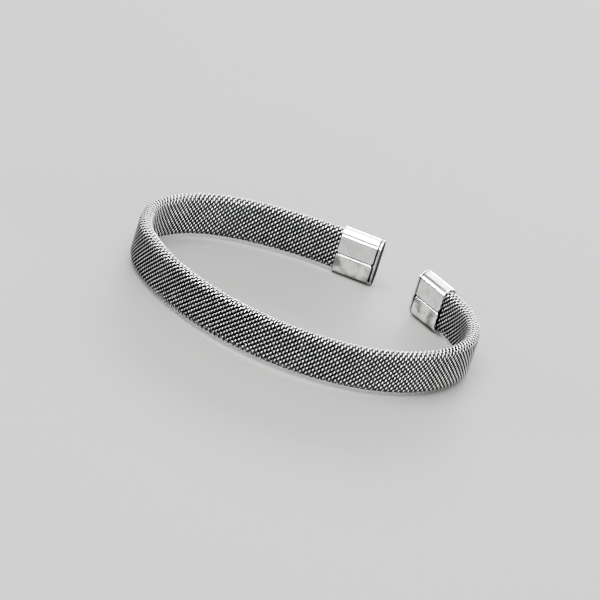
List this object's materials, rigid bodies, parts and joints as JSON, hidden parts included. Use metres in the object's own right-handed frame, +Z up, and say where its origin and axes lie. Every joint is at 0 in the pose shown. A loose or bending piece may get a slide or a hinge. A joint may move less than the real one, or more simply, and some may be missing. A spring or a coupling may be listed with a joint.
{
  "type": "mesh cuff bracelet",
  "caption": "Open oval cuff bracelet: a flattened steel wire-mesh band with a polished metal cap closing each end, the two ends a small gap apart.",
  "frame": {"origin": "middle of the oval's box, on the surface that the bracelet lies on", "axes": "+X along the oval's long axis, +Y towards the side with the gap between the caps, +Z up, along the band's height"},
  "size_m": [0.0638, 0.0562, 0.0089],
  "materials": {
    "mesh_steel": "drawn stainless-steel wire, bright",
    "polished_steel": "mirror-polished stainless-steel sheet with fine wear",
    "plate_steel": "polished stainless-steel plate"
  },
  "bodies": {
    "root": {"mesh_band": "mesh_steel", "sleeve_left": "polished_steel", "sleeve_right": "polished_steel", "end_plate_left": "plate_steel", "end_plate_right": "plate_steel"}
  },
  "joints": []
}
